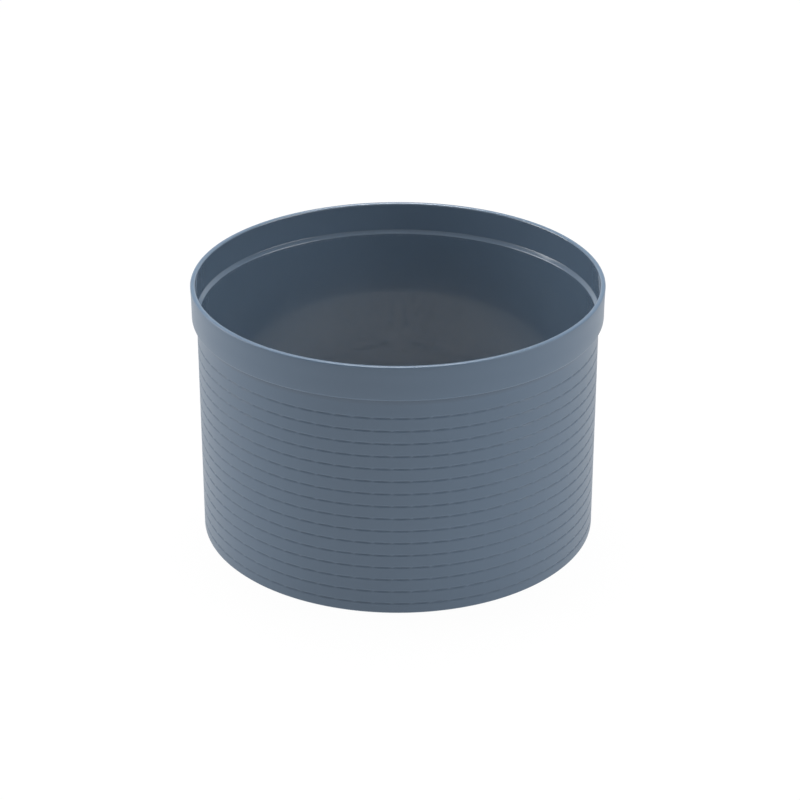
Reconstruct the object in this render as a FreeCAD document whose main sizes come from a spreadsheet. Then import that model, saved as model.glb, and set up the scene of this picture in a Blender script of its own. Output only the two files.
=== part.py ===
"""A round ribbed planter: a grooved wall, a floor, a drainage grid on feet that lifts out, and drain plugs.

The frame has +Z up and its origin on the ground, under the middle of the pot. Sizes are in millimetres.
"""
import FreeCAD, Part
import os
from types import SimpleNamespace

import Sketcher

Vector = FreeCAD.Vector

# Driving sizes: alias, number, meaning
SIZES = [
    ("pot_height", 194.0, "ground to the top of the rim"),
    ("wall_radius", 146.0, "outside of the straight wall"),
    ("wall", 2.4, "thickness of the wall at its top"),
    ("core_draft", 0.8, "how much thicker the wall is at the floor"),
    ("collar_height", 25.7, "rim down to the collar's lower edge"),
    ("collar_step", 3.6, "how far the collar stands out from the wall"),
    ("collar_wall", 3.3, "thickness of the collar below its lip"),
    ("lip_height", 11.0, "height of the flared lip at the top of the collar"),
    ("lip_flare", 0.4, "how much further the lip stands out at its top"),
    ("rim_bevel", 1.0, "bevel of the rim's two edges"),
    ("shoulder", 3.8, "collar's lower edge up to the top of the sloping shoulder inside"),
    ("shoulder_fall", 2.25, "how far that shoulder falls towards the wall"),
    ("base_bevel", 0.8, "bevel of the base ring's outer edge"),
    ("groove_count", 16, "grooves round the wall"),
    ("groove_width", 2.0, "groove at the wall's face"),
    ("groove_depth", 0.8, "groove into the wall"),
    ("lowest_groove", 8.1, "ground to the middle of the lowest groove"),
    ("plain_band", 14.5, "collar's lower edge down to the middle of the top groove"),
    ("ledge_width", 6.2, "width of the base ring, whose top is the ledge that carries the floor"),
    ("floor_height", 5.0, "ground to that ledge and the underside of the floor"),
    ("floor_thickness", 2.6, "thickness of the floor"),
    ("floor_clearance", 0.3, "gap between the floor and the wall, and its ribs and the base ring"),
    ("stiffener_count", 8, "ribs under the floor"),
    ("stiffener_width", 2.0, "thickness of the ribs under the floor"),
    ("stiffener_start", 20.0, "pot's axis to the inner end of those ribs"),
    ("stiffener_lift", 1.4, "ground to the lower edge of those ribs"),
    ("reservoir_height", 20.4, "floor up to the underside of the grid, on its feet"),
    ("drain_count", 4, "drain holes with their plugs"),
    ("drain_inset", 50.0, "wall to the middle of a drain hole"),
    ("drain_radius", 8.0, "bore of a drain hole"),
    ("plug_clearance", 0.1, "gap round a plug's stem"),
    ("plug_lip", 4.0, "how far a plug's head reaches past the hole"),
    ("plug_head", 2.4, "thickness of a plug's head"),
    ("plug_wall", 2.0, "wall of a plug's hollow stem"),
    ("plug_reach", 1.0, "how far a stem comes out under the floor"),
    ("grip_height", 6.0, "grip above a plug's head"),
    ("grip_width", 14.0, "grip along the plug's head"),
    ("grip_top_width", 10.0, "grip at its top"),
    ("grip_thickness", 3.0, "thickness of the grip"),
    ("grid_clearance", 0.7, "gap between the grid and the wall"),
    ("grid_thickness", 2.2, "plate of the grid"),
    ("grid_rib_count", 12, "ribs under the grid"),
    ("grid_rib_width", 2.0, "thickness of the grid's ribs and of its two rings"),
    ("grid_rib_depth", 5.0, "depth of the grid's ribs and of its two rings"),
    ("hub_radius", 11.0, "ring under the middle of the grid"),
    ("rim_margin", 13.0, "plain edge of the grid, outside its outer ring"),
    ("foot_count", 6, "feet round the grid's edge, besides the one in the middle"),
    ("foot_radius", 5.0, "feet of the grid"),
    ("spigot_radius", 3.0, "spigot on top of a foot, pushed into the grid"),
    ("spigot_clearance", 0.1, "gap round a spigot"),
    ("slot_width", 4.0, "slots of the grid"),
    ("slot_bar", 7.0, "solid bar between two rings of slots"),
]

# Slots in each ring of the grid, as multiples of its ribs
SLOTS_PER_RIB = (1, 2, 3)

# How far a cutter reaches past the face that it cuts
CUTTER_REACH = 1.0


class Size:
    """A length: its number in millimetres, and the expression that ties it to the sheet."""

    def __init__(self, number, text):
        self.number = number
        self.text = text

    def combine(self, sign, other, number):
        text = other.text if isinstance(other, Size) else str(other)
        return Size(number, f"({self.text} {sign} {text})")

    def __add__(self, other):
        return self.combine("+", other, self.number + number_of(other))

    def __sub__(self, other):
        return self.combine("-", other, self.number - number_of(other))

    def __mul__(self, other):
        return self.combine("*", other, self.number * number_of(other))

    def __truediv__(self, other):
        return self.combine("/", other, self.number / number_of(other))

    def __neg__(self):
        return Size(-self.number, f"(-{self.text})")


def number_of(value):
    return value.number if isinstance(value, Size) else value


doc = FreeCAD.newDocument("Planter")
sheet = doc.addObject("Spreadsheet::Sheet", "Sizes")
for row, (alias, number, meaning) in enumerate(SIZES, start=1):
    sheet.set(f"A{row}", meaning)
    sheet.set(f"B{row}", str(number))
    sheet.setAlias(f"B{row}", alias)
doc.recompute()
size = SimpleNamespace(**{alias: Size(number, f"Sizes.{alias}") for alias, number, meaning in SIZES})

# Levels and radii that several pieces share
collar_foot = size.pot_height - size.collar_height
floor_top = size.floor_height + size.floor_thickness
inner_radius = size.wall_radius - size.wall - size.core_draft
grid_seat = floor_top + size.reservoir_height
ledge_bore = size.wall_radius - size.ledge_width
drain_circle = inner_radius - size.drain_inset
grid_edge = inner_radius - size.grid_clearance
foot_circle = grid_edge - size.rim_margin / 2


def new_body(name):
    body = doc.addObject("PartDesign::Body", name)
    body.Label = name
    return body


def origin_feature(body, role):
    return next(feature for feature in body.Origin.OriginFeatures if feature.Role == role)


def new_sketch(body, name, role, lift=None, turn=None):
    """A sketch on one of the body's origin planes, raised along its normal and turned about the Z axis."""
    sketch = body.newObject("Sketcher::SketchObject", name)
    sketch.AttachmentSupport = [(origin_feature(body, role), "")]
    sketch.MapMode = "FlatFace"
    if lift:
        sketch.setExpression("AttachmentOffset.Base.z", lift.text)
    if turn:
        upright = Vector(0, 0, 1) if role == "XY_Plane" else Vector(0, 1, 0)
        sketch.AttachmentOffset = FreeCAD.Placement(Vector(), FreeCAD.Rotation(upright, turn.number))
        sketch.setExpression("AttachmentOffset.Rotation.Angle", turn.text)
    return sketch


def hold(sketch, kind, first, second, value):
    """Add one dimension between two points of a sketch and tie it to the sheet."""
    if value.number < 0:
        first, second, value = second, first, -value
    index = sketch.addConstraint(Sketcher.Constraint(kind, *first, *second, value.number))
    sketch.setExpression(f"Constraints[{index}]", value.text)


def place_point(sketch, geometry, end, x, y):
    """Hold a point by its two coordinates, where 0 means on the axis."""
    origin, horizontal, vertical = (-1, 1), -1, -2
    for kind, axis, value in (("DistanceX", vertical, x), ("DistanceY", horizontal, y)):
        if value == 0:
            sketch.addConstraint(Sketcher.Constraint("PointOnObject", geometry, end, axis))
        else:
            hold(sketch, kind, origin, (geometry, end), value)


def draw_outline(sketch, corners):
    """A closed outline of straight lines through corners given as pairs of sizes."""
    spots = [Vector(number_of(x), number_of(y), 0) for x, y in corners]
    count = len(spots)
    for index in range(count):
        sketch.addGeometry(Part.LineSegment(spots[index], spots[(index + 1) % count]), False)
    for index in range(count):
        sketch.addConstraint(Sketcher.Constraint("Coincident", index, 2, (index + 1) % count, 1))
    for index, (x, y) in enumerate(corners):
        place_point(sketch, index, 1, x, y)


def draw_bar(sketch, start, end, width):
    """A bar along the sketch's X axis, from start to end."""
    half = width / 2
    draw_outline(sketch, [(start, half), (start, -half), (end, -half), (end, half)])


def draw_circle(sketch, x, radius):
    """A circle whose middle lies on the sketch's X axis."""
    middle = Vector(number_of(x), 0, 0)
    circle = sketch.addGeometry(Part.Circle(middle, Vector(0, 0, 1), radius.number), False)
    place_point(sketch, circle, 3, x, 0)
    index = sketch.addConstraint(Sketcher.Constraint("Radius", circle, radius.number))
    sketch.setExpression(f"Constraints[{index}]", radius.text)


def finish(body, feature):
    """Make a feature the body's latest one, and build it."""
    body.Tip = feature
    doc.recompute()
    return feature


def turn_solid(body, name, kind, sketch):
    """A Revolution, or a Groove that cuts, all the way round the sketch's vertical axis."""
    feature = body.newObject(f"PartDesign::{kind}", name)
    feature.Profile = sketch
    feature.ReferenceAxis = (sketch, ["V_Axis"])
    feature.Angle = 360
    return finish(body, feature)


def raise_solid(body, name, sketch, length, both_ways=False):
    pad = body.newObject("PartDesign::Pad", name)
    pad.Profile = sketch
    pad.setExpression("Length", length.text)
    pad.SideType = "Symmetric" if both_ways else "One side"
    return finish(body, pad)


def cut_through(body, name, sketch):
    pocket = body.newObject("PartDesign::Pocket", name)
    pocket.Profile = sketch
    pocket.Type = "ThroughAll"
    pocket.SideType = "Symmetric"
    return finish(body, pocket)


def repeat_round(body, name, feature, count):
    """Repeat a feature evenly round the body's Z axis."""
    pattern = body.newObject("PartDesign::PolarPattern", name)
    pattern.Originals = [feature]
    pattern.Axis = (origin_feature(body, "Z_Axis"), [""])
    pattern.Angle = 360
    pattern.setExpression("Occurrences", count.text)
    return finish(body, pattern)


def repeat_upwards(body, name, feature, pitch, count):
    """Repeat a feature up the vertical axis of its sketch."""
    pattern = body.newObject("PartDesign::LinearPattern", name)
    pattern.Originals = [feature]
    pattern.Direction = (feature.Profile[0], ["V_Axis"])
    pattern.Mode = "Spacing"
    pattern.setExpression("Offset", pitch.text)
    pattern.setExpression("Occurrences", count.text)
    return finish(body, pattern)


def half_step(count):
    """Half the angle between two of count even places round a circle, in degrees."""
    return Size(180 / count.number, f"(180 / {count.text})")


def make_wall():
    """The pot's wall: a turned shell with a stepped collar, a grooved drum and a base ring with a ledge."""
    body = new_body("pot_wall")
    collar_radius = size.wall_radius + size.collar_step
    collar_bore = collar_radius - size.collar_wall
    rim_radius = collar_radius + size.lip_flare
    rim_edge = size.pot_height - size.rim_bevel
    shoulder_top = collar_foot + size.shoulder

    section = new_sketch(body, "WallSection", "XZ_Plane")
    draw_outline(section, [
        (size.wall_radius - size.base_bevel, 0),
        (size.wall_radius, size.base_bevel),
        (size.wall_radius, collar_foot),
        (collar_radius, collar_foot),
        (collar_radius, size.pot_height - size.lip_height),
        (rim_radius, rim_edge),
        (rim_radius - size.rim_bevel, size.pot_height),
        (collar_bore + size.rim_bevel, size.pot_height),
        (collar_bore, rim_edge),
        (collar_bore, shoulder_top),
        (size.wall_radius - size.wall, shoulder_top - size.shoulder_fall),
        (inner_radius, size.floor_height),
        (ledge_bore, size.floor_height),
        (ledge_bore, 0),
    ])
    turn_solid(body, "WallShell", "Revolution", section)
    make_grooves(body)
    return body


def make_grooves(body):
    """Level grooves round the wall, spread evenly between its lowest and its top one."""
    tip = size.wall_radius - size.groove_depth
    mouth = size.wall_radius + CUTTER_REACH
    spread = size.groove_width / size.groove_depth / 2 * (size.groove_depth + CUTTER_REACH)
    sketch = new_sketch(body, "GrooveSection", "XZ_Plane")
    draw_outline(sketch, [
        (tip, size.lowest_groove),
        (mouth, size.lowest_groove - spread),
        (mouth, size.lowest_groove + spread),
    ])
    groove = turn_solid(body, "LowestGroove", "Groove", sketch)
    pitch = (collar_foot - size.plain_band - size.lowest_groove) / (size.groove_count - 1)
    repeat_upwards(body, "WallGrooves", groove, pitch, size.groove_count)


def make_floor():
    """The pot's floor: a plate that lies on the wall's ledge, with drain holes, and ribs under it."""
    body = new_body("pot_floor")
    plate_sketch = new_sketch(body, "FloorOutline", "XY_Plane", size.floor_height)
    draw_circle(plate_sketch, 0, inner_radius - size.floor_clearance)
    raise_solid(body, "FloorPlate", plate_sketch, size.floor_thickness)

    turn = half_step(size.stiffener_count)
    rib_sketch = new_sketch(body, "StiffenerOutline", "XY_Plane", size.stiffener_lift, turn)
    draw_bar(rib_sketch, size.stiffener_start, ledge_bore - size.floor_clearance, size.stiffener_width)
    rib_height = size.floor_height + size.floor_thickness / 2 - size.stiffener_lift
    stiffener = raise_solid(body, "Stiffener", rib_sketch, rib_height)
    repeat_round(body, "Stiffeners", stiffener, size.stiffener_count)

    hole_sketch = new_sketch(body, "HoleOutline", "XY_Plane", floor_top, half_step(size.drain_count))
    draw_circle(hole_sketch, drain_circle, size.drain_radius)
    hole = cut_through(body, "DrainHole", hole_sketch)
    repeat_round(body, "DrainHoles", hole, size.drain_count)
    return body


def make_grid():
    """The drainage grid: a slotted plate with two rings and ribs under it, and holes for its feet."""
    body = new_body("drainage_grid")
    grid_top = grid_seat + size.grid_thickness
    rib_foot = grid_seat - size.grid_rib_depth
    ring_outer = grid_edge - size.rim_margin
    ring_inner = ring_outer - size.grid_rib_width
    hub_bore = size.hub_radius - size.grid_rib_width
    foot_bore = size.spigot_radius + size.spigot_clearance

    section = new_sketch(body, "GridSection", "XZ_Plane")
    draw_outline(section, [
        (foot_bore, grid_top),
        (grid_edge, grid_top),
        (grid_edge, grid_seat),
        (ring_outer, grid_seat),
        (ring_outer, rib_foot),
        (ring_inner, rib_foot),
        (ring_inner, grid_seat),
        (size.hub_radius, grid_seat),
        (size.hub_radius, rib_foot),
        (hub_bore, rib_foot),
        (hub_bore, grid_seat),
        (foot_bore, grid_seat),
    ])
    turn_solid(body, "GridPlate", "Revolution", section)

    rib_sketch = new_sketch(body, "GridRibOutline", "XY_Plane", rib_foot)
    rib_start = size.hub_radius - size.grid_rib_width / 2
    draw_bar(rib_sketch, rib_start, ring_inner + size.grid_rib_width / 2, size.grid_rib_width)
    rib = raise_solid(body, "GridRib", rib_sketch, size.grid_rib_depth + size.grid_thickness / 2)
    repeat_round(body, "GridRibs", rib, size.grid_rib_count)

    hole_sketch = new_sketch(body, "FootHoleOutline", "XY_Plane", grid_seat, half_step(size.foot_count))
    draw_circle(hole_sketch, foot_circle, foot_bore)
    hole = cut_through(body, "FootHole", hole_sketch)
    repeat_round(body, "FootHoles", hole, size.foot_count)
    make_slots(body, size.hub_radius, ring_inner)
    return body


def make_slots(body, inner_edge, outer_edge):
    """Rings of radial slots between two edges, each midway between the ribs."""
    rings = len(SLOTS_PER_RIB)
    slot_length = (outer_edge - inner_edge - size.slot_bar * (rings + 1)) / rings
    start = inner_edge + size.slot_bar
    for ring, slots in enumerate(SLOTS_PER_RIB, start=1):
        count = size.grid_rib_count * slots
        sketch = new_sketch(body, f"SlotOutline{ring}", "XY_Plane", grid_seat, half_step(count))
        draw_bar(sketch, start, start + slot_length, size.slot_width)
        slot = cut_through(body, f"Slot{ring}", sketch)
        repeat_round(body, f"SlotRing{ring}", slot, count)
        start = start + slot_length + size.slot_bar


def place_round(body, circle, count, number, level):
    """Move a body to one of count even places round the pot's axis, and turn it to face outwards."""
    turn = f"({half_step(count).text} * {2 * number - 1})"
    body.setExpression("Placement.Base.x", f"{circle.text} * cos({turn} * 1 deg)")
    body.setExpression("Placement.Base.y", f"{circle.text} * sin({turn} * 1 deg)")
    body.setExpression("Placement.Base.z", level.text)
    body.setExpression("Placement.Rotation.Angle", turn)


def make_foot(name):
    """A foot of the grid: a peg that stands on the floor, with a spigot on top."""
    body = new_body(name)
    section = new_sketch(body, f"Section_{name}", "XZ_Plane")
    spigot_top = size.reservoir_height + size.grid_thickness
    draw_outline(section, [
        (0, 0),
        (size.foot_radius, 0),
        (size.foot_radius, size.reservoir_height),
        (size.spigot_radius, size.reservoir_height),
        (size.spigot_radius, spigot_top),
        (0, spigot_top),
    ])
    turn_solid(body, f"Turned_{name}", "Revolution", section)
    return body


def make_feet():
    """Feet round the grid's edge, and one in its middle."""
    middle = make_foot("grid_foot_middle")
    middle.setExpression("Placement.Base.z", floor_top.text)
    feet = [middle]
    for number in range(1, size.foot_count.number + 1):
        foot = make_foot(f"grid_foot_{number}")
        place_round(foot, foot_circle, size.foot_count, number, floor_top)
        feet.append(foot)
    return feet


def make_plug(number):
    """A drain plug: a head that sits on the floor, a hollow stem in the hole and a grip to pull it by."""
    body = new_body(f"drain_plug_{number}")
    stem_radius = size.drain_radius - size.plug_clearance
    stem_bore = stem_radius - size.plug_wall
    stem_end = -(size.floor_thickness + size.plug_reach)
    head_radius = size.drain_radius + size.plug_lip

    section = new_sketch(body, f"PlugSection{number}", "XZ_Plane")
    draw_outline(section, [
        (0, size.plug_head),
        (head_radius, size.plug_head),
        (head_radius, 0),
        (stem_radius, 0),
        (stem_radius, stem_end),
        (stem_bore, stem_end),
        (stem_bore, 0),
        (0, 0),
    ])
    turn_solid(body, f"PlugTurned{number}", "Revolution", section)

    grip = new_sketch(body, f"GripOutline{number}", "XZ_Plane")
    root, top = size.plug_head / 2, size.plug_head + size.grip_height
    foot_half, top_half = size.grip_width / 2, size.grip_top_width / 2
    draw_outline(grip, [(-foot_half, root), (foot_half, root), (top_half, top), (-top_half, top)])
    raise_solid(body, f"PlugGrip{number}", grip, size.grip_thickness, both_ways=True)
    place_round(body, drain_circle, size.drain_count, number, floor_top)
    return body


def check_document():
    """Stop at any object that failed to build, and at any cut that took nothing away."""
    for item in doc.Objects:
        if "Invalid" in item.State or "Error" in item.State:
            raise RuntimeError(f"{item.Label} failed: {item.State}")
        if item.isDerivedFrom("PartDesign::ProfileBased") and item.BaseFeature:
            before, after = item.BaseFeature.Shape.Volume, item.Shape.Volume
            cuts = item.TypeId in ("PartDesign::Pocket", "PartDesign::Groove")
            if (after >= before) if cuts else (after <= before):
                raise RuntimeError(f"{item.Label} changed nothing: {before} to {after}")


def write_parts(bodies):
    for body in bodies:
        shape = body.Shape
        if shape.isNull() or not shape.isValid() or len(shape.Solids) != 1:
            raise RuntimeError(f"{body.Label} isn't one valid solid")
        print(f"{body.Label}: {shape.Volume / 1000:.1f} cm3, {len(shape.Faces)} faces")
    os.makedirs("parts", exist_ok=True)
    for body in bodies:
        body.Shape.exportStep(f"parts/{body.Label}.step")


pieces = [make_wall(), make_floor(), make_grid()]
pieces += make_feet()
pieces += [make_plug(number) for number in range(1, size.drain_count.number + 1)]
doc.recompute()
check_document()
write_parts(pieces)
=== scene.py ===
"""Looks of a round ribbed planter: wall, floor, drainage grid, feet and plugs, and the studio round it."""

import math

import bmesh
import bpy
from bpy.props import FloatProperty, FloatVectorProperty, IntProperty, PointerProperty
from mathutils import Matrix, Vector


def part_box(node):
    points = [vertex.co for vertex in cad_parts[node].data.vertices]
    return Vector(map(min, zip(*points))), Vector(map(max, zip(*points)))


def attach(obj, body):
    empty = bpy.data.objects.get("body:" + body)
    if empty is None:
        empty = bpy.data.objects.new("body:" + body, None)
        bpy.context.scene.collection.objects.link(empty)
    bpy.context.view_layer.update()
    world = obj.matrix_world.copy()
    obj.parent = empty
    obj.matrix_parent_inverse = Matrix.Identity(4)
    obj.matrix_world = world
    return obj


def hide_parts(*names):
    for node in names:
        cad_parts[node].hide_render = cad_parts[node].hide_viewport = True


bl_info = {
    "name": "Round Ribbed Planter",
    "version": (1, 0, 0),
    "blender": (4, 5, 0),
    "location": "View3D > Sidebar > Planter",
    "description": "Builds the visible pieces of a round ribbed planter and its studio",
    "category": "Object",
}

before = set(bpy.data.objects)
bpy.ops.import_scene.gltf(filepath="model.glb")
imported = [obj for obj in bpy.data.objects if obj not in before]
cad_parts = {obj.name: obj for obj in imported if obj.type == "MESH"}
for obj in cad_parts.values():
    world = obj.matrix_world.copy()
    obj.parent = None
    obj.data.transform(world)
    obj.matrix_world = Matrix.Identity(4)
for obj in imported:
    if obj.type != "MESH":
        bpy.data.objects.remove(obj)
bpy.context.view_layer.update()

WALL_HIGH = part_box("pot_wall")[1]
FLOOR_LOW, FLOOR_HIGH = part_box("pot_floor")
GRID_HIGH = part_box("drainage_grid")[1]

# The Z axis, and the angle from the X axis to the side that faces the camera
Z_AXIS = Vector((0, 0, 1))
FRONT = -math.pi / 2

# Edges sharper than this are drawn sharp: on rounded pieces, and on flat plates
SMOOTH_ANGLE = math.radians(42)
FLAT_ANGLE = math.radians(20)

# Edges sharper than the first are rounded, faces flatter than the second joined, near points merged
CORNER_ANGLE = math.radians(45)
SEAM_ANGLE = math.radians(1)
MERGE_DISTANCE = 1e-6

# Facets round each turned piece
FLOOR_FACETS = 160
DRAIN_FACETS = 48
FOOT_FACETS = 32
PLUG_FACETS = 64

# Half the width of the ground in metres, and the width of the camera's sensor in millimetres
GROUND_HALF = 6
SENSOR_WIDTH = 36


# Kinds of settings

def length(name, default, description):
    """A length property, in metres."""
    return FloatProperty(name=name, description=description, default=default, unit="LENGTH", precision=5)


def share(name, default, description):
    """A property that goes from 0 to 1."""
    return FloatProperty(name=name, description=description, default=default, min=0, max=1, subtype="FACTOR")


def count(name, default, description):
    """A whole number of like things."""
    return IntProperty(name=name, description=description, default=default, min=1)


def angle(name, degrees, description):
    """An angle property, kept in radians."""
    return FloatProperty(name=name, description=description, default=math.radians(degrees), subtype="ANGLE")


def power(name, default, description):
    """The power of a lamp, in watts."""
    return FloatProperty(name=name, description=description, default=default, min=0, unit="POWER")


def colour(name, default, description):
    """A linear colour property."""
    return FloatVectorProperty(
        name=name, description=description, default=default, size=3, min=0, max=1, subtype="COLOR")


# Settings

class PlanterWallSettings(bpy.types.PropertyGroup):
    """Sizes of the grooved wall."""
    rim_radius: length("Rim radius", WALL_HIGH.x, "Outside of the rim")
    height: length("Height", WALL_HIGH.z, "Ground to the top of the rim")
    drum_radius: length("Drum radius", 0.146, "Outside of the straight wall")
    drum_bore: length("Drum bore", 0.1436, "Inside of the wall at the shoulder")
    floor_bore: length("Floor bore", 0.1428, "Inside of the wall at the floor")
    collar_radius: length("Collar radius", 0.1496, "Outside of the collar under its lip")
    collar_bore: length("Collar bore", 0.1463, "Inside of the collar")
    collar_foot: length("Collar foot", 0.1683, "Ground to the collar's lower edge")
    lip_height: length("Lip height", 0.011, "Height of the flared lip")
    shoulder_top: length("Shoulder top", 0.1721, "Ground to the top of the shoulder inside")
    shoulder_foot: length("Shoulder foot", 0.16985, "Ground to the foot of the shoulder inside")
    ledge_bore: length("Ledge bore", 0.1398, "Inside of the base ring")
    ledge_height: length("Ledge height", 0.005, "Ground to the ledge under the floor")
    rim_round: length("Rim rounding", 0.0013, "Radius of the rim's two edges")
    foot_round: length("Foot rounding", 0.0016, "Radius of the collar's lower edge")
    shoulder_round: length("Shoulder rounding", 0.0006, "Radius of the shoulder's inner edge")
    base_round: length("Base rounding", 0.0009, "Size of the wall's lower edge")
    corner_round: length("Corner rounding", 0.0003, "Radius of the wall's hollow corners")
    # The painted shade under the collar fades out across this strip
    shade_width: length("Shade width", 0.0048, "Shaded strip of the wall under the collar")


class PlanterGrooveSettings(bpy.types.PropertyGroup):
    """Rows of short grooves round the wall."""
    rows: count("Rows", 16, "Rows of grooves")
    lowest: length("Lowest row", 0.0081, "Ground to the middle of the lowest row")
    highest: length("Highest row", 0.1538, "Ground to the middle of the highest row")
    width: length("Width", 0.002, "Groove at the wall's face")
    depth: length("Depth", 0.0006, "Groove into the wall")
    flat: share("Flat share", 0.25, "Part of the width that is flat at the bottom")
    dashes: count("Dashes", 68, "Grooves in each row")
    steps: count("Steps", 8, "Facets from one groove to the next in a row")
    dash: share("Dash share", 0.84, "Part of the row that is cut")
    # Painted shade at a groove's bottom, as a share of that in the corner under the collar
    shade: share("Shade", 0.3, "How dark a groove is, against the corner under the collar")
    turn: angle("Turn", 1.06, "Angle from the front to the middle of the first groove")


class PlanterInsideSettings(bpy.types.PropertyGroup):
    """Sizes of the floor, the grid's edges, its feet and the plugs."""
    rib_count: count("Floor ribs", 8, "Ribs under the floor")
    rib_width: length("Rib width", 0.002, "Thickness of the ribs under the floor")
    rib_start: length("Rib start", 0.020, "Pot's axis to the inner end of a rib")
    floor_thickness: length("Floor thickness", 0.0026, "Thickness of the floor")
    drain_radius: length("Drain radius", 0.008, "Bore of a drain hole")
    edge: length("Edge", 0.0004, "Rounding of the moulded edges inside")
    plug_wall: length("Plug wall", 0.002, "Wall of a plug's hollow stem")
    plug_gap: length("Plug gap", 0.0001, "Gap round a plug's stem")
    plug_head: length("Plug head", 0.0024, "Thickness of a plug's head")
    grip_thickness: length("Grip thickness", 0.003, "Thickness of a plug's grip")
    grip_foot: length("Grip foot", 0.014, "Width of a plug's grip at the head")
    grip_top: length("Grip top", 0.010, "Width of a plug's grip at its top")
    grid_thickness: length("Grid thickness", 0.0022, "Plate of the grid, which a foot's shoulder meets")
    spigot_radius: length("Spigot radius", 0.003, "Spigot on top of a foot")


class PlanterFinishSettings(bpy.types.PropertyGroup):
    """Colours of the plastics."""
    pot: colour("Pot", (0.098, 0.155, 0.230), "Blue-grey plastic of the wall and the floor")
    pot_rubbed: colour("Pot, rubbed", (0.165, 0.225, 0.300), "The same plastic where it is paler")
    # Painted shade: the darker colour put in the grooves and in the hollow corner under the collar
    pot_shaded: colour("Pot, shaded", (0.070, 0.105, 0.150), "The same plastic as painted shade in its grooves and under its collar")
    grid: colour("Grid", (0.52, 0.505, 0.48), "Pale warm grey plastic of the grid and its feet")
    grid_speck: colour("Grid specks", (0.44, 0.427, 0.405), "Darker specks in that plastic")
    plug: colour("Plug", (0.045, 0.048, 0.052), "Soft dark plastic of the plugs")
    plug_bloom: colour("Plug bloom", (0.11, 0.115, 0.12), "Pale bloom on that plastic")


class PlanterStudioSettings(bpy.types.PropertyGroup):
    """Camera, ground and light."""
    eye_x: length("Eye across", 0.00153, "Camera's place across the picture")
    eye_back: length("Eye distance", 1.61615, "Camera's distance in front of the pot's axis")
    eye_height: length("Eye height", 0.89482, "Camera's height above the ground")
    tilt: angle("Tilt", 26.308, "How far the camera looks down")
    lens: FloatProperty(
        name="Lens", description="Focal length on a 36 mm sensor", default=109.437, unit="CAMERA")
    ground: colour("Ground", (0.25, 0.25, 0.25), "Colour of the ground under its glow")
    ground_glow: share("Ground glow", 0.75, "Strength of the light from the ground")
    ground_white: share("White ground", 0.9, "How much of the ground the camera sees as plain white")
    ambient: share("Ambient", 0.01, "Strength of the light from all round")
    overhead: share("Overhead", 0.2, "Brightness overhead, as reflections show it")
    left_power: power("Left power", 11.0, "Lamp on the left")
    right_power: power("Right power", 8.0, "Lamp on the right")
    top_power: power("Top power", 115.0, "Lamp above")


# Helpers that shape a mesh

def profile(bm, points, closed):
    """Edges through points given as radius and height, back to the first one if closed."""
    verts = [bm.verts.new((radius, 0, height)) for radius, height in points]
    ends = verts[1:] + verts[:1] if closed else verts[1:]
    for first, second in zip(verts, ends):
        bm.edges.new((first, second))
    return verts


def round_corners(bm, verts, radius, segments):
    """Round corners of a profile."""
    bmesh.ops.bevel(bm, geom=verts, offset=radius, affect="VERTICES",
                    segments=segments, profile=0.5, material=-1)


def spin_round(bm, steps, start=0.0):
    """Spin the whole profile round the Z axis, from an angle."""
    bmesh.ops.rotate(bm, verts=bm.verts[:], cent=(0, 0, 0), matrix=Matrix.Rotation(start, 3, "Z"))
    bmesh.ops.spin(bm, geom=bm.verts[:] + bm.edges[:], cent=(0, 0, 0), axis=Z_AXIS, dvec=(0, 0, 0),
                   angle=math.tau, steps=steps, use_merge=True)
    bmesh.ops.remove_doubles(bm, verts=bm.verts[:], dist=MERGE_DISTANCE)
    bmesh.ops.recalc_face_normals(bm, faces=bm.faces[:])


def sharp_edges(bm, least):
    """Edges between two faces that meet at more than an angle."""
    return [edge for edge in bm.edges if len(edge.link_faces) == 2 and edge.calc_face_angle(0) > least]


def edges_of(verts):
    """Each edge of some points, once."""
    return list(dict.fromkeys(edge for vert in verts for edge in vert.link_edges))


def round_edges(bm, edges, width, segments):
    """Round edges of a solid."""
    bmesh.ops.bevel(bm, geom=edges, offset=width, offset_type="OFFSET", affect="EDGES",
                    segments=segments, profile=0.5, clamp_overlap=True, material=-1)


def soften_edges(bm, width):
    """Round every corner edge."""
    round_edges(bm, sharp_edges(bm, CORNER_ANGLE), width, segments=2)


def add_block(bm, middle, size, turn=Matrix.Identity(4)):
    """A block, turned about the Z axis. Gives its points."""
    place = turn @ Matrix.Translation(middle) @ Matrix.Diagonal(size).to_4x4()
    return bmesh.ops.create_cube(bm, size=1, matrix=place)["verts"]


def new_piece(name, bm, body, material, nodes, smooth=SMOOTH_ANGLE):
    """Turn a finished bmesh into a piece of the planter that stands for CAD nodes."""
    for face in bm.faces:
        face.smooth = True
    for edge in sharp_edges(bm, smooth):
        edge.smooth = False
    mesh = bpy.data.meshes.new(name)
    bm.to_mesh(mesh)
    bm.free()
    mesh.materials.append(material)
    piece = bpy.data.objects.new(name, mesh)
    bpy.context.scene.collection.objects.link(piece)
    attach(piece, body)
    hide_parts(*nodes)


def node_names(start):
    """CAD nodes whose names start alike, in order."""
    return sorted(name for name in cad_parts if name.startswith(start))


def middle_of(name, height):
    """Middle of a CAD node in plan, at a height."""
    low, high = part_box(name)
    return Vector(((low.x + high.x) / 2, (low.y + high.y) / 2, height))


# Helpers for nodes

def set_inputs(node, inputs):
    """Set plain values on a node's sockets. An underscore stands for a space in a socket's name."""
    for name, value in inputs.items():
        node.inputs[name.replace("_", " ")].default_value = value


def feed(tree, socket, value):
    """Link another socket to this one, or set plain numbers on it."""
    if isinstance(value, bpy.types.NodeSocket):
        tree.links.new(value, socket)
    elif socket.type == "RGBA":
        socket.default_value = (*value, 1)
    else:
        socket.default_value = value


def add_node(tree, kind, label="", **inputs):
    """A node with plain values set on its sockets."""
    node = tree.nodes.new(kind)
    node.label = label
    set_inputs(node, inputs)
    return node


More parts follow.
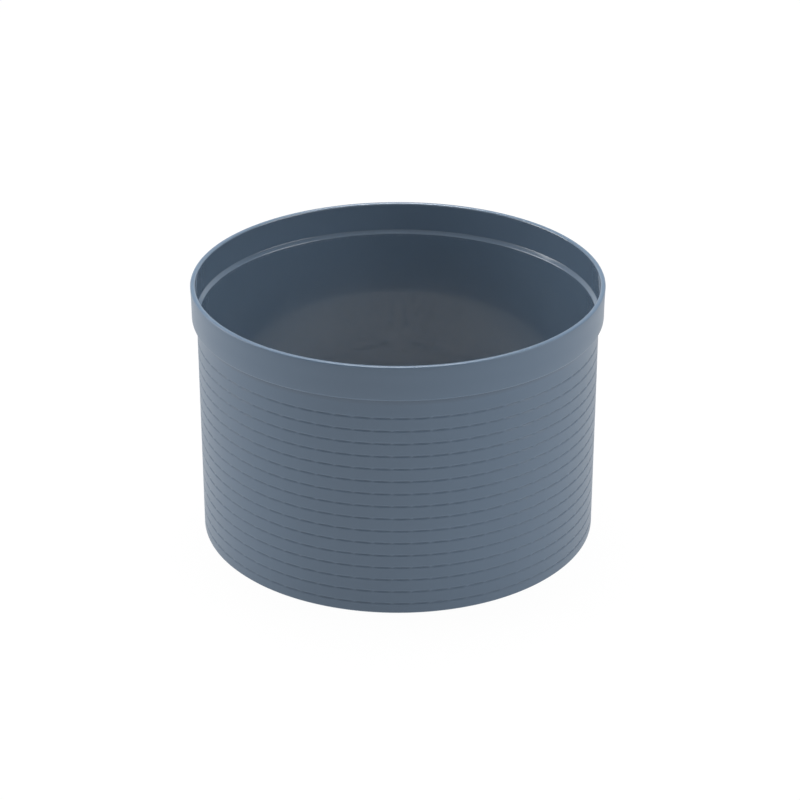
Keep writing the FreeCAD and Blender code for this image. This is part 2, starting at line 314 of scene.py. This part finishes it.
def place_group(tree, group, **inputs):
    """A node group in a material, with its own values."""
    node = add_node(tree, "ShaderNodeGroup", group.name)
    node.node_tree = group
    set_inputs(node, inputs)
    return node


def add_math(tree, operation, label, first, second):
    """A Math node on two values, each a socket or a plain number."""
    node = add_node(tree, "ShaderNodeMath", label)
    node.operation = operation
    feed(tree, node.inputs[0], first)
    feed(tree, node.inputs[1], second)
    return node.outputs[0]


def add_noise(tree, label, size, detail):
    """A noise on Object coordinates whose blotches have about a given size, a socket in metres."""
    place = tree.nodes.new("ShaderNodeTexCoord")
    noise = add_node(tree, "ShaderNodeTexNoise", label, Detail=detail, Roughness=0.6)
    tree.links.new(place.outputs["Object"], noise.inputs["Vector"])
    tree.links.new(add_math(tree, "DIVIDE", f"{label} scale", 1.0, size), noise.inputs["Scale"])
    return noise.outputs["Fac"]


def spread(tree, label, value, low, high, start=0.0, end=1.0):
    """A value that goes from low to high while another goes from start to end."""
    node = add_node(tree, "ShaderNodeMapRange", label,
                    From_Min=start, From_Max=end, To_Min=low, To_Max=high)
    tree.links.new(value, node.inputs["Value"])
    return node.outputs["Result"]


def mix_colours(tree, label, first, second, mask):
    """Mix two colours by a mask. A colour is a socket, or three plain numbers."""
    mix = add_node(tree, "ShaderNodeMix", label)
    mix.data_type = "RGBA"
    sockets = [socket for socket in mix.inputs if socket.type == "RGBA"]
    for socket, value in zip(sockets, (first, second)):
        feed(tree, socket, value)
    tree.links.new(mask, mix.inputs["Factor"])
    return next(socket for socket in mix.outputs if socket.type == "RGBA")


def attribute(tree, name):
    """A value kept on the points of a mesh."""
    node = add_node(tree, "ShaderNodeAttribute", name)
    node.attribute_name = name
    return node.outputs["Fac"]


def height_part(tree, source):
    """The Z part of a vector."""
    parts = tree.nodes.new("ShaderNodeSeparateXYZ")
    tree.links.new(source, parts.inputs[0])
    return parts.outputs["Z"]


def start_group(name, inputs, outputs):
    """A new shader node group with float sockets, and its input and output nodes."""
    group = bpy.data.node_groups.new(name, "ShaderNodeTree")
    for label, default in inputs:
        socket = group.interface.new_socket(label, in_out="INPUT", socket_type="NodeSocketFloat")
        socket.default_value = default
    for label in outputs:
        group.interface.new_socket(label, in_out="OUTPUT", socket_type="NodeSocketFloat")
    return group, group.nodes.new("NodeGroupInput"), group.nodes.new("NodeGroupOutput")


def start_material(name):
    """A new material, its nodes and its shader."""
    material = bpy.data.materials.new(name)
    material.use_nodes = True
    tree = material.node_tree
    return material, tree, tree.nodes["Principled BSDF"]


def add_bump(tree, shader, height, strength, distance):
    """Fine relief on a shader's surface."""
    bump = add_node(tree, "ShaderNodeBump", "Grain", Strength=strength, Distance=distance)
    tree.links.new(height, bump.inputs["Height"])
    tree.links.new(bump.outputs["Normal"], shader.inputs["Normal"])


# Effects that the plastics share

def moulded_grain():
    """Fine grain of a moulded face: a height for bump, and a slow mottle of the colour."""
    name = "Moulded grain"
    if name in bpy.data.node_groups:
        return bpy.data.node_groups[name]
    group, given, result = start_group(
        name, [("Grain size", 0.0006), ("Mottle size", 0.03)], ["Height", "Mottle"])
    height = add_noise(group, "Grain", given.outputs["Grain size"], detail=3.0)
    mottle = add_noise(group, "Mottle", given.outputs["Mottle size"], detail=5.0)
    group.links.new(height, result.inputs["Height"])
    group.links.new(mottle, result.inputs["Mottle"])
    return group


def settled_dust():
    """Where dust settles: on faces that look up, broken into patches."""
    name = "Settled dust"
    if name in bpy.data.node_groups:
        return bpy.data.node_groups[name]
    group, given, result = start_group(name, [("Amount", 0.5), ("Patch size", 0.02)], ["Mask"])
    upward = height_part(group, group.nodes.new("ShaderNodeNewGeometry").outputs["Normal"])
    facing = spread(group, "Faces up", upward, low=0, high=1, start=0.35, end=0.95)
    patches = add_noise(group, "Patches", given.outputs["Patch size"], detail=6.0)
    strong = spread(group, "Patch edges", patches, low=0, high=1, start=0.35, end=0.7)
    both = add_math(group, "MULTIPLY", "Up and patchy", facing, strong)
    mask = add_math(group, "MULTIPLY", "Amount", both, given.outputs["Amount"])
    group.links.new(mask, result.inputs["Mask"])
    return group


def wear_and_highlight_band():
    """A band at a height, broken into patches: wear at a rim, and a painted highlight with wear at the foot
    of a collar.
    """
    name = "Rubbed edge"
    if name in bpy.data.node_groups:
        return bpy.data.node_groups[name]
    group, given, result = start_group(
        name, [("Level", 0.1), ("Width", 0.001), ("Patch size", 0.01)], ["Mask"])
    height = height_part(group, group.nodes.new("ShaderNodeTexCoord").outputs["Object"])
    off = add_math(group, "SUBTRACT", "Off the level", height, given.outputs["Level"])
    widths = add_math(group, "DIVIDE", "In widths", off, given.outputs["Width"])
    distance = add_math(group, "ABSOLUTE", "Distance", widths, 0.0)
    near = add_math(group, "SUBTRACT", "Near the level", 1.0, distance)
    band = add_math(group, "MAXIMUM", "Inside the band", near, 0.0)
    patches = add_noise(group, "Patches", given.outputs["Patch size"], detail=5.0)
    wear_and_highlight = spread(group, "Worn patches", patches, low=0, high=1, start=0.4, end=0.65)
    mask = add_math(group, "MULTIPLY", "Worn", band, wear_and_highlight)
    group.links.new(mask, result.inputs["Mask"])
    return group


# Plastics

def pot_plastic(context):
    """Blue-grey moulded plastic: satin outside, paler and polished inside, mottled, rubbed at its edges,
    with painted shade in its grooves and under its collar and a painted highlight at the collar's lower
    edge.
    """
    name = "Pot plastic"
    if name in bpy.data.materials:
        return bpy.data.materials[name]
    finish, wall = context.scene.planter_finish, context.scene.planter_wall
    material, tree, shader = start_material(name)
    shader.inputs["IOR"].default_value = 1.54
    shader.inputs["Coat Roughness"].default_value = 0.08
    grain = place_group(tree, moulded_grain(), Grain_size=0.0007, Mottle_size=0.035)
    dust = place_group(tree, settled_dust(), Amount=0.06, Patch_size=0.012)
    mottle = spread(tree, "Mottle", grain.outputs["Mottle"], low=0.0, high=0.2)
    skin = mix_colours(tree, "Mottled plastic", finish.pot, finish.pot_rubbed, mottle)
    # Painted shade: darker colour in the grooves and in the hollow corner under the collar, where shade
    # falls
    shade = spread(tree, "Shade", attribute(tree, "shade"), low=0.0, high=0.9)
    skin = mix_colours(tree, "Grooves and corner", skin, finish.pot_shaded, shade)
    # Wear at the rim and the base; at the collar foot, a painted highlight on the collar's lower edge as
    # well as wear
    wear_and_highlight_bands = [
        ("Rim", wall.height, 0.15),
        ("Collar foot", wall.collar_foot, 1.0),
        ("Base", 0.0, 0.3),
    ]
    for label, level, most in wear_and_highlight_bands:
        rubbed = place_group(tree, wear_and_highlight_band(), Level=level, Width=0.0012, Patch_size=0.008)
        wear_and_highlight = spread(tree, f"{label} wear", rubbed.outputs["Mask"], low=0.0, high=most)
        skin = mix_colours(tree, label, skin, finish.pot_rubbed, wear_and_highlight)
    inside = attribute(tree, "inside")
    paler = spread(tree, "Paler inside", inside, low=0.0, high=0.5)
    skin = mix_colours(tree, "Inside", skin, finish.pot_rubbed, paler)
    skin = mix_colours(tree, "Dust", skin, finish.pot_rubbed, dust.outputs["Mask"])
    tree.links.new(skin, shader.inputs["Base Color"])
    satin = spread(tree, "Satin", grain.outputs["Mottle"], low=0.32, high=0.44)
    smoother = spread(tree, "Smoother inside", inside, low=1.0, high=0.55)
    tree.links.new(add_math(tree, "MULTIPLY", "Gloss", satin, smoother), shader.inputs["Roughness"])
    polish = spread(tree, "Polished inside", inside, low=0.0, high=1.0)
    tree.links.new(polish, shader.inputs["Coat Weight"])
    add_bump(tree, shader, grain.outputs["Height"], strength=0.06, distance=0.0003)
    return material


def grid_plastic(context):
    """Pale warm grey plastic with darker specks."""
    name = "Grid plastic"
    if name in bpy.data.materials:
        return bpy.data.materials[name]
    finish = context.scene.planter_finish
    material, tree, shader = start_material(name)
    grain = place_group(tree, moulded_grain(), Grain_size=0.0009, Mottle_size=0.004)
    dust = place_group(tree, settled_dust(), Amount=0.3, Patch_size=0.02)
    specks = spread(tree, "Specks", grain.outputs["Mottle"], low=0.0, high=1.0, start=0.45, end=0.7)
    plain = mix_colours(tree, "Specked plastic", finish.grid, finish.grid_speck, specks)
    dusty = mix_colours(tree, "Dust", plain, finish.grid, dust.outputs["Mask"])
    tree.links.new(dusty, shader.inputs["Base Color"])
    dull = spread(tree, "Dull", grain.outputs["Mottle"], low=0.45, high=0.6)
    tree.links.new(dull, shader.inputs["Roughness"])
    add_bump(tree, shader, grain.outputs["Height"], strength=0.12, distance=0.0003)
    return material


def plug_plastic(context):
    """Soft dark plastic with a pale bloom."""
    name = "Plug plastic"
    if name in bpy.data.materials:
        return bpy.data.materials[name]
    finish = context.scene.planter_finish
    material, tree, shader = start_material(name)
    grain = place_group(tree, moulded_grain(), Grain_size=0.0005, Mottle_size=0.008)
    dust = place_group(tree, settled_dust(), Amount=0.6, Patch_size=0.006)
    bloom = spread(tree, "Bloom", grain.outputs["Mottle"], low=0.0, high=0.5)
    plain = mix_colours(tree, "Bloomed plastic", finish.plug, finish.plug_bloom, bloom)
    dusty = mix_colours(tree, "Dust", plain, finish.plug_bloom, dust.outputs["Mask"])
    tree.links.new(dusty, shader.inputs["Base Color"])
    dull = spread(tree, "Dull", grain.outputs["Mottle"], low=0.5, high=0.7)
    tree.links.new(dull, shader.inputs["Roughness"])
    add_bump(tree, shader, grain.outputs["Height"], strength=0.15, distance=0.0002)
    return material


# Pieces

class PLANTER_OT_wall(bpy.types.Operator):
    """Build the moulded wall with its collar, its rounded rim and its rows of short grooves"""
    bl_idname = "planter.wall"
    bl_label = "Wall"

    def execute(self, context):
        wall, grooves = context.scene.planter_wall, context.scene.planter_grooves
        bm = bmesh.new()
        drum = [
            (wall.drum_radius - wall.base_round, 0),
            (wall.drum_radius, wall.base_round),
            *self.groove_points(grooves, wall.drum_radius),
            (wall.drum_radius, wall.collar_foot - wall.shade_width),
        ]
        corners = profile(bm, drum + [
            (wall.drum_radius, wall.collar_foot),
            (wall.collar_radius, wall.collar_foot),
            (wall.collar_radius, wall.height - wall.lip_height),
            (wall.rim_radius, wall.height),
            (wall.collar_bore, wall.height),
            (wall.collar_bore, wall.shoulder_top),
            (wall.drum_bore, wall.shoulder_foot),
            (wall.floor_bore, wall.ledge_height),
            (wall.ledge_bore, wall.ledge_height),
            (wall.ledge_bore, 0),
        ], closed=True)
        under_collar, collar_edge, lip_foot, rim_outer, rim_inner, *inner = corners[len(drum):]
        shoulder_top, shoulder_foot = inner[:2]
        round_corners(bm, [rim_outer, rim_inner], wall.rim_round, segments=5)
        round_corners(bm, [collar_edge], wall.foot_round, segments=5)
        round_corners(bm, [shoulder_foot], wall.shoulder_round, segments=4)
        round_corners(bm, [under_collar, shoulder_top], wall.corner_round, segments=2)
        round_corners(bm, [lip_foot], wall.lip_height / 3, segments=4)
        spin_round(bm, grooves.dashes * grooves.steps, FRONT + grooves.turn)
        self.fill_bridges(bm, grooves, wall.drum_radius)
        self.shade_corner(bm, wall)
        self.mark_inside(bm)
        new_piece("planter_wall", bm, "pot", pot_plastic(context), ["pot_wall"])
        return {"FINISHED"}

    def groove_points(self, grooves, radius):
        """Points of the drum from its lowest groove to its highest, with one just off each groove's edge."""
        pitch = (grooves.highest - grooves.lowest) / (grooves.rows - 1)
        half, half_flat = grooves.width / 2, grooves.width * grooves.flat / 2
        points = []
        for row in range(grooves.rows):
            middle = grooves.lowest + row * pitch
            points += [
                (radius, middle - half - grooves.depth / 2),
                (radius, middle - half),
                (radius - grooves.depth, middle - half_flat),
                (radius - grooves.depth, middle + half_flat),
                (radius, middle + half),
                (radius, middle + half + grooves.depth / 2),
            ]
        return points

    def fill_bridges(self, bm, grooves, radius):
        """Raise the grooves' bottom to the drum's face between two dashes, and note how much painted shade
        it gets.
        """
        layer = bm.verts.layers.float.new("shade")
        period = math.tau / grooves.dashes
        step = period / grooves.steps
        half_dash = grooves.dash * period / 2
        bottom = radius - grooves.depth
        for vert in bm.verts:
            reach = vert.co.to_2d().length
            in_rows = grooves.lowest - grooves.width < vert.co.z < grooves.highest + grooves.width
            if not in_rows or abs(reach - bottom) > grooves.depth / 2:
                continue
            around = math.atan2(vert.co.y, vert.co.x) - FRONT - grooves.turn
            off = abs((around + period / 2) % period - period / 2)
            cut = min(1.0, max(0.0, (half_dash - off) / step + 0.5))
            vert.co.xy *= (radius - grooves.depth * cut) / reach
            vert[layer] = grooves.shade * cut

    def shade_corner(self, bm, wall):
        """Give the hollow corner under the collar full painted shade."""
        layer = bm.verts.layers.float["shade"]
        for vert in bm.verts:
            above = abs(vert.co.z - wall.collar_foot)
            beside = abs(vert.co.to_2d().length - wall.drum_radius)
            if max(above, beside) < 2 * wall.corner_round:
                vert[layer] = 1.0

    def mark_inside(self, bm):
        """Note how much each point of the wall faces the pot's axis."""
        layer = bm.verts.layers.float.new("inside")
        bm.normal_update()
        for vert in bm.verts:
            vert[layer] = max(0.0, -vert.normal.xy.dot(vert.co.xy.normalized()))


class PLANTER_OT_floor(bpy.types.Operator):
    """Build the floor plate with its drain holes and the ribs under it"""
    bl_idname = "planter.floor"
    bl_label = "Floor"

    def execute(self, context):
        wall, inside = context.scene.planter_wall, context.scene.planter_inside
        bm = bmesh.new()
        underside = FLOOR_HIGH.z - inside.floor_thickness
        bmesh.ops.create_circle(bm, cap_ends=False, radius=FLOOR_HIGH.x, segments=FLOOR_FACETS,
                                matrix=Matrix.Translation((0, 0, underside)))
        for name in node_names("drain_plug_"):
            bmesh.ops.create_circle(bm, cap_ends=False, radius=inside.drain_radius, segments=DRAIN_FACETS,
                                    matrix=Matrix.Translation(middle_of(name, underside)))
        bmesh.ops.triangle_fill(bm, edges=bm.edges[:], use_beauty=True)
        raised = bmesh.ops.extrude_face_region(bm, geom=bm.faces[:], use_keep_orig=True)["geom"]
        lifted = [item for item in raised if isinstance(item, bmesh.types.BMVert)]
        bmesh.ops.translate(bm, verts=lifted, vec=(0, 0, inside.floor_thickness))
        bmesh.ops.recalc_face_normals(bm, faces=bm.faces[:])
        soften_edges(bm, inside.edge)
        self.add_ribs(bm, wall, inside, underside)
        material = pot_plastic(context)
        new_piece("planter_floor", bm, "pot", material, ["pot_floor"], FLAT_ANGLE)
        return {"FINISHED"}

    def add_ribs(self, bm, wall, inside, underside):
        """Ribs under the floor, a little way into it."""
        end = wall.ledge_bore - inside.edge
        top = underside + inside.floor_thickness / 2
        size = Vector((end - inside.rib_start, inside.rib_width, top - FLOOR_LOW.z))
        middle = Vector(((end + inside.rib_start) / 2, 0, (top + FLOOR_LOW.z) / 2))
        for number in range(inside.rib_count):
            turn = Matrix.Rotation(math.tau * (number + 0.5) / inside.rib_count, 4, "Z")
            rib = add_block(bm, middle, size, turn)
            round_edges(bm, edges_of(rib), inside.edge, segments=2)


class PLANTER_OT_grid(bpy.types.Operator):
    """Round the moulded edges of the slotted drainage grid"""
    bl_idname = "planter.grid"
    bl_label = "Drainage grid"

    def execute(self, context):
        bm = bmesh.new()
        bm.from_mesh(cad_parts["drainage_grid"].data)
        bmesh.ops.remove_doubles(bm, verts=bm.verts[:], dist=MERGE_DISTANCE)
        bmesh.ops.dissolve_limit(bm, angle_limit=SEAM_ANGLE, verts=bm.verts[:], edges=bm.edges[:])
        soften_edges(bm, context.scene.planter_inside.edge)
        material = grid_plastic(context)
        new_piece("planter_grid", bm, "drainage_grid", material,
                  ["drainage_grid"], FLAT_ANGLE)
        return {"FINISHED"}


class PLANTER_OT_feet(bpy.types.Operator):
    """Build the feet of the drainage grid"""
    bl_idname = "planter.feet"
    bl_label = "Grid feet"

    def execute(self, context):
        inside = context.scene.planter_inside
        material = grid_plastic(context)
        shoulder = GRID_HIGH.z - inside.grid_thickness
        for name in node_names("grid_foot_"):
            low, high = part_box(name)
            radius = (high.x - low.x) / 2
            bm = bmesh.new()
            corners = profile(bm, [
                (0, low.z),
                (radius, low.z),
                (radius, shoulder),
                (inside.spigot_radius, shoulder),
                (inside.spigot_radius, high.z),
                (0, high.z),
            ], closed=False)
            sole, shoulder_edge, spigot_top = corners[1], corners[2], corners[4]
            round_corners(bm, [sole, shoulder_edge, spigot_top], inside.edge, segments=3)
            spin_round(bm, FOOT_FACETS)
            bmesh.ops.translate(bm, verts=bm.verts[:], vec=middle_of(name, 0))
            new_piece(f"planter_{name}", bm, "drainage_grid", material, [name])
        return {"FINISHED"}


class PLANTER_OT_plugs(bpy.types.Operator):
    """Build the drain plugs"""
    bl_idname = "planter.plugs"
    bl_label = "Drain plugs"

    def execute(self, context):
        inside = context.scene.planter_inside
        material = plug_plastic(context)
        for name in node_names("drain_plug_"):
            low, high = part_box(name)
            bm = bmesh.new()
            self.add_head(bm, inside, low, high)
            self.add_grip(bm, inside, high.z)
            middle = middle_of(name, 0)
            turn = Matrix.Rotation(math.atan2(middle.y, middle.x), 4, "Z")
            bmesh.ops.transform(bm, matrix=Matrix.Translation(middle) @ turn, verts=bm.verts[:])
            new_piece(f"planter_{name}", bm, name, material, [name])
        return {"FINISHED"}

    def add_head(self, bm, inside, low, high):
        """The head with its hollow stem, spun round the plug's own axis."""
        seat = FLOOR_HIGH.z
        head = (high.x - low.x) / 2
        stem = inside.drain_radius - inside.plug_gap
        bore = stem - inside.plug_wall
        corners = profile(bm, [
            (0, seat + inside.plug_head),
            (head, seat + inside.plug_head),
            (head, seat),
            (stem, seat),
            (stem, low.z),
            (bore, low.z),
            (bore, seat),
            (0, seat),
        ], closed=False)
        head_top, head_foot, stem_end = corners[1], corners[2], corners[4:7]
        round_corners(bm, [head_top], 2 * inside.edge, segments=4)
        round_corners(bm, [head_foot, *stem_end], inside.edge, segments=2)
        spin_round(bm, PLUG_FACETS)

    def add_grip(self, bm, inside, top):
        """The tapered grip, a little way into the head."""
        root = FLOOR_HIGH.z + inside.plug_head / 2
        middle = Vector((0, 0, (top + root) / 2))
        size = Vector((inside.grip_foot, inside.grip_thickness, top - root))
        block = add_block(bm, middle, size)
        upper = [vert for vert in block if vert.co.z > middle.z]
        bmesh.ops.scale(bm, vec=(inside.grip_top / inside.grip_foot, 1, 1), verts=upper)
        round_edges(bm, edges_of(block), 2 * inside.edge, segments=3)


# Studio

class PLANTER_OT_studio(bpy.types.Operator):
    """Set up the pale floor, the white surroundings, the lamps and the camera"""
    bl_idname = "planter.studio"
    bl_label = "Studio"

    def execute(self, context):
        studio = context.scene.planter_studio
        self.add_floor(context, studio)
        self.light_surroundings(context, studio)
        self.add_lamp(context, "Left softbox", studio.left_power, place=(-1.4, 0.2, 0.7), size=(0.9, 1.2))
        self.add_lamp(context, "Right softbox", studio.right_power, place=(1.35, -0.4, 0.7), size=(0.9, 1.2))
        self.add_lamp(context, "Top softbox", studio.top_power, place=(0, 0.7, 2.9), size=(1.6, 1.6))
        self.add_camera(context, studio)
        context.scene.view_settings.view_transform = "Standard"
        return {"FINISHED"}

    def add_floor(self, context, studio):
        """A glowing pale ground, which the camera sees as nearly white with the pot's shadow on it."""
        bm = bmesh.new()
        bmesh.ops.create_grid(bm, x_segments=1, y_segments=1, size=GROUND_HALF)
        mesh = bpy.data.meshes.new("studio_floor")
        bm.to_mesh(mesh)
        bm.free()
        material, tree, shader = start_material("Studio floor")
        shader.inputs["Base Color"].default_value = (*studio.ground, 1)
        shader.inputs["Roughness"].default_value = 0.9
        shader.inputs["Emission Color"].default_value = (1, 1, 1, 1)
        shader.inputs["Emission Strength"].default_value = studio.ground_glow
        white = add_node(tree, "ShaderNodeEmission", "White ground", Strength=1.0)
        seen = add_math(tree, "MULTIPLY", "Keeps some shadow", self.seen_directly(tree), studio.ground_white)
        self.join(tree, seen, shader, white, tree.nodes["Material Output"])
        mesh.materials.append(material)
        floor = bpy.data.objects.new("studio_floor", mesh)
        context.scene.collection.objects.link(floor)

    def light_surroundings(self, context, studio):
        """Soft light from all round, which the camera sees as white and reflections show darker overhead."""
        world = bpy.data.worlds.new("Studio")
        context.scene.world = world
        world.use_nodes = True
        tree = world.node_tree
        tree.nodes.clear()
        soft = add_node(tree, "ShaderNodeBackground", "Soft light",
                        Color=(1, 1, 1, 1), Strength=studio.ambient)
        white = add_node(tree, "ShaderNodeBackground", "White surroundings", Color=(1, 1, 1, 1))
        upward = height_part(tree, tree.nodes.new("ShaderNodeTexCoord").outputs["Generated"])
        fading = spread(tree, "Darker overhead", upward, low=1.0, high=studio.overhead, start=0.05, end=0.6)
        tree.links.new(fading, white.inputs["Strength"])
        self.join(tree, self.seen_directly(tree), soft, white, tree.nodes.new("ShaderNodeOutputWorld"))

    def seen_directly(self, tree):
        """1 where the camera sees a surface directly, by reflection or through glass, else 0."""
        path = tree.nodes.new("ShaderNodeLightPath").outputs
        glossy = add_math(tree, "MAXIMUM", "Camera or glossy", path["Is Camera Ray"], path["Is Glossy Ray"])
        return add_math(tree, "MAXIMUM", "Or through glass", glossy, path["Is Transmission Ray"])

    def join(self, tree, mask, first, second, output):
        """Show one shader where a mask is 0 and another where it is 1."""
        mix = tree.nodes.new("ShaderNodeMixShader")
        tree.links.new(mask, mix.inputs[0])
        tree.links.new(first.outputs[0], mix.inputs[1])
        tree.links.new(second.outputs[0], mix.inputs[2])
        tree.links.new(mix.outputs[0], output.inputs["Surface"])

    def add_lamp(self, context, name, watts, place, size):
        """A soft lamp that points at the middle of the pot."""
        lamp = bpy.data.lights.new(name, "AREA")
        lamp.shape = "RECTANGLE"
        lamp.size, lamp.size_y = size
        lamp.energy = watts
        target = Vector((0, 0, WALL_HIGH.z / 2))
        holder = bpy.data.objects.new(name, lamp)
        holder.location = place
        holder.rotation_euler = (target - Vector(place)).to_track_quat("-Z", "Y").to_euler()
        context.scene.collection.objects.link(holder)

    def add_camera(self, context, studio):
        """The camera, in front of the pot and looking down at it."""
        camera = bpy.data.cameras.new("Camera")
        camera.lens = studio.lens
        camera.sensor_width = SENSOR_WIDTH
        holder = bpy.data.objects.new("Camera", camera)
        holder.location = (studio.eye_x, -studio.eye_back, studio.eye_height)
        holder.rotation_euler = (math.pi / 2 - studio.tilt, 0, 0)
        context.scene.collection.objects.link(holder)
        context.scene.camera = holder


class PLANTER_PT_panel(bpy.types.Panel):
    """Lists the planter's operators and its settings"""
    bl_idname = "PLANTER_PT_panel"
    bl_label = "Round Ribbed Planter"
    bl_space_type = "VIEW_3D"
    bl_region_type = "UI"
    bl_category = "Planter"

    def draw(self, context):
        for operator in OPERATORS:
            self.layout.operator(operator.bl_idname)
        for name, settings in SETTINGS.items():
            box = self.layout.box()
            for key in settings.__annotations__:
                box.prop(getattr(context.scene, name), key)


SETTINGS = {
    "planter_wall": PlanterWallSettings,
    "planter_grooves": PlanterGrooveSettings,
    "planter_inside": PlanterInsideSettings,
    "planter_finish": PlanterFinishSettings,
    "planter_studio": PlanterStudioSettings,
}
OPERATORS = [
    PLANTER_OT_wall,
    PLANTER_OT_floor,
    PLANTER_OT_grid,
    PLANTER_OT_feet,
    PLANTER_OT_plugs,
    PLANTER_OT_studio,
]


def register():
    """Make the settings, the operators and the panel known to Blender."""
    for settings in SETTINGS.values():
        bpy.utils.register_class(settings)
    for operator in OPERATORS:
        bpy.utils.register_class(operator)
    bpy.utils.register_class(PLANTER_PT_panel)
    for name, settings in SETTINGS.items():
        setattr(bpy.types.Scene, name, PointerProperty(type=settings))


def unregister():
    """Take them away again, in the opposite order."""
    for name in SETTINGS:
        delattr(bpy.types.Scene, name)
    bpy.utils.unregister_class(PLANTER_PT_panel)
    for operator in reversed(OPERATORS):
        bpy.utils.unregister_class(operator)
    for settings in reversed(SETTINGS.values()):
        bpy.utils.unregister_class(settings)


def main():
    """Build every piece and the studio."""
    register()
    bpy.ops.planter.wall()
    bpy.ops.planter.floor()
    bpy.ops.planter.grid()
    bpy.ops.planter.feet()
    bpy.ops.planter.plugs()
    bpy.ops.planter.studio()


if __name__ == "__main__":
    main()
